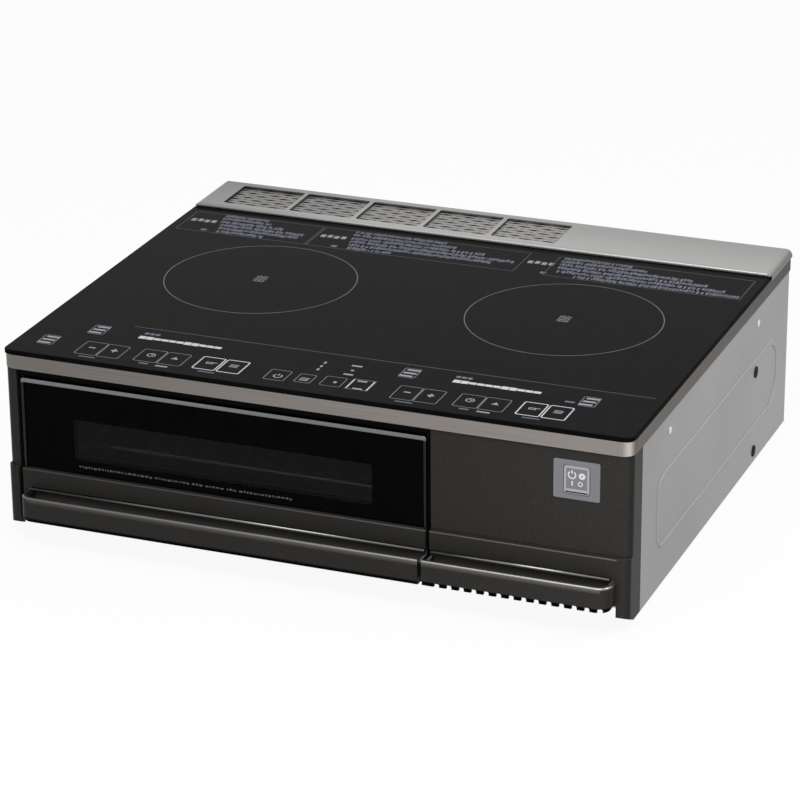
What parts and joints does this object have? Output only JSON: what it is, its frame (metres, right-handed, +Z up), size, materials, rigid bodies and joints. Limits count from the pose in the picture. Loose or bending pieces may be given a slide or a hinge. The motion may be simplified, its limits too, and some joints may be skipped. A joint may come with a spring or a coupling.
{
  "type": "electric cooker with grill drawer",
  "caption": "Low electric cooker: a glass hob in a brushed frame, a slide-out grill drawer with a window and handle lip, a power key, an air intake and a rear exhaust cover.",
  "frame": {"origin": "centre of the outline on the floor, under the feet", "axes": "+X to the right seen from the front, +Y to the rear, +Z up"},
  "size_m": [0.6, 0.517, 0.1855],
  "materials": {
    "brushed_frame": "fine brushed, warm grey",
    "black_glass": "polished, opaque black",
    "window_glass": "polished, smoked",
    "clear_glass": "polished",
    "side_paint": "satin metallic grey",
    "front_moulding": "gloss dark metallic",
    "black_plastic": "matt black",
    "bright_trim": "bright",
    "plate_plastic": "satin silver grey",
    "rubber_black": "matt",
    "silicone": "matt",
    "sheet_steel": "zinc-coated sheet",
    "enamel": "dark enamel",
    "plated_wire": "plated",
    "heater_sheath": "oxidised steel",
    "ceramic": "unglazed",
    "copper": "enamelled copper",
    "ferrite": "fired",
    "cast_alloy": "as formed",
    "circuit_board": "lacquered",
    "capacitor_sleeve": "sleeved",
    "screw_steel": "plated"
  },
  "bodies": {
    "chassis": {"base_pan": "sheet_steel", "feet": "rubber_black", "right_front_panel": "front_moulding", "left_pillar": "front_moulding", "front_crossbar": "black_plastic", "side_panel_left": "side_paint", "side_panel_right": "side_paint", "side_screws": "screw_steel", "rear_panel": "sheet_steel", "rear_screws": "screw_steel", "partition_wall": "sheet_steel", "top_frame": "brushed_frame", "glass_seal": "silicone", "glass_top": "black_glass", "grill_cavity": "enamel", "cavity_supports": "sheet_steel", "slide_channel_left": "sheet_steel", "slide_channel_right": "sheet_steel", "upper_heater": "heater_sheath", "lower_heater": "heater_sheath", "heater_bushings": "ceramic", "exhaust_duct": "sheet_steel", "coil_support": "sheet_steel", "coil_springs": "sheet_steel", "coil_base_left": "cast_alloy", "coil_base_right": "cast_alloy", "coil_winding_left": "copper", "coil_winding_right": "copper", "ferrite_bars": "ferrite", "temperature_sensors": "ceramic", "control_tray": "black_plastic", "control_board": "circuit_board", "touch_contacts": "silicone", "inverter_board": "circuit_board", "board_standoffs": "black_plastic", "heat_sink": "cast_alloy", "filter_capacitors": "capacitor_sleeve", "fan_housing": "black_plastic", "fan_motor": "sheet_steel", "cord_gland": "black_plastic", "terminal_block": "ceramic", "switch_bezel": "plate_plastic", "power_switch": "black_plastic", "button_spring": "plated_wire"},
    "grill_drawer": {"drawer_front": "front_moulding", "door_trim": "bright_trim", "door_glass": "window_glass", "inner_glass": "clear_glass", "inner_door": "sheet_steel", "door_screws": "screw_steel", "door_seal": "silicone", "drawer_carrier": "sheet_steel", "drip_tray": "enamel", "grill_rack": "plated_wire"},
    "power_button": {"power_key": "plate_plastic"},
    "exhaust_cover_body": {"exhaust_cover": "brushed_frame", "exhaust_mesh": "sheet_steel"},
    "fan_wheel": {"fan_rotor": "black_plastic"}
  },
  "joints": [
    {"name": "grill_slide", "type": "slide", "parent": "chassis", "child": "grill_drawer", "axis": [0, -1, 0], "range_m": [0, 0.29]},
    {"name": "power_push", "type": "slide", "parent": "chassis", "child": "power_button", "axis": [0, 1, 0], "range_m": [0, 0.002], "stiffness_N_per_m": 600},
    {"name": "exhaust_lift", "type": "slide", "parent": "chassis", "child": "exhaust_cover_body", "axis": [0, 0, 1], "range_m": [0, 0.05]},
    {"name": "fan_spin", "type": "hinge", "parent": "chassis", "child": "fan_wheel", "pos_m": [0.19, 0.18, 0.026], "axis": [0, 0, 1], "continuous": true}
  ]
}
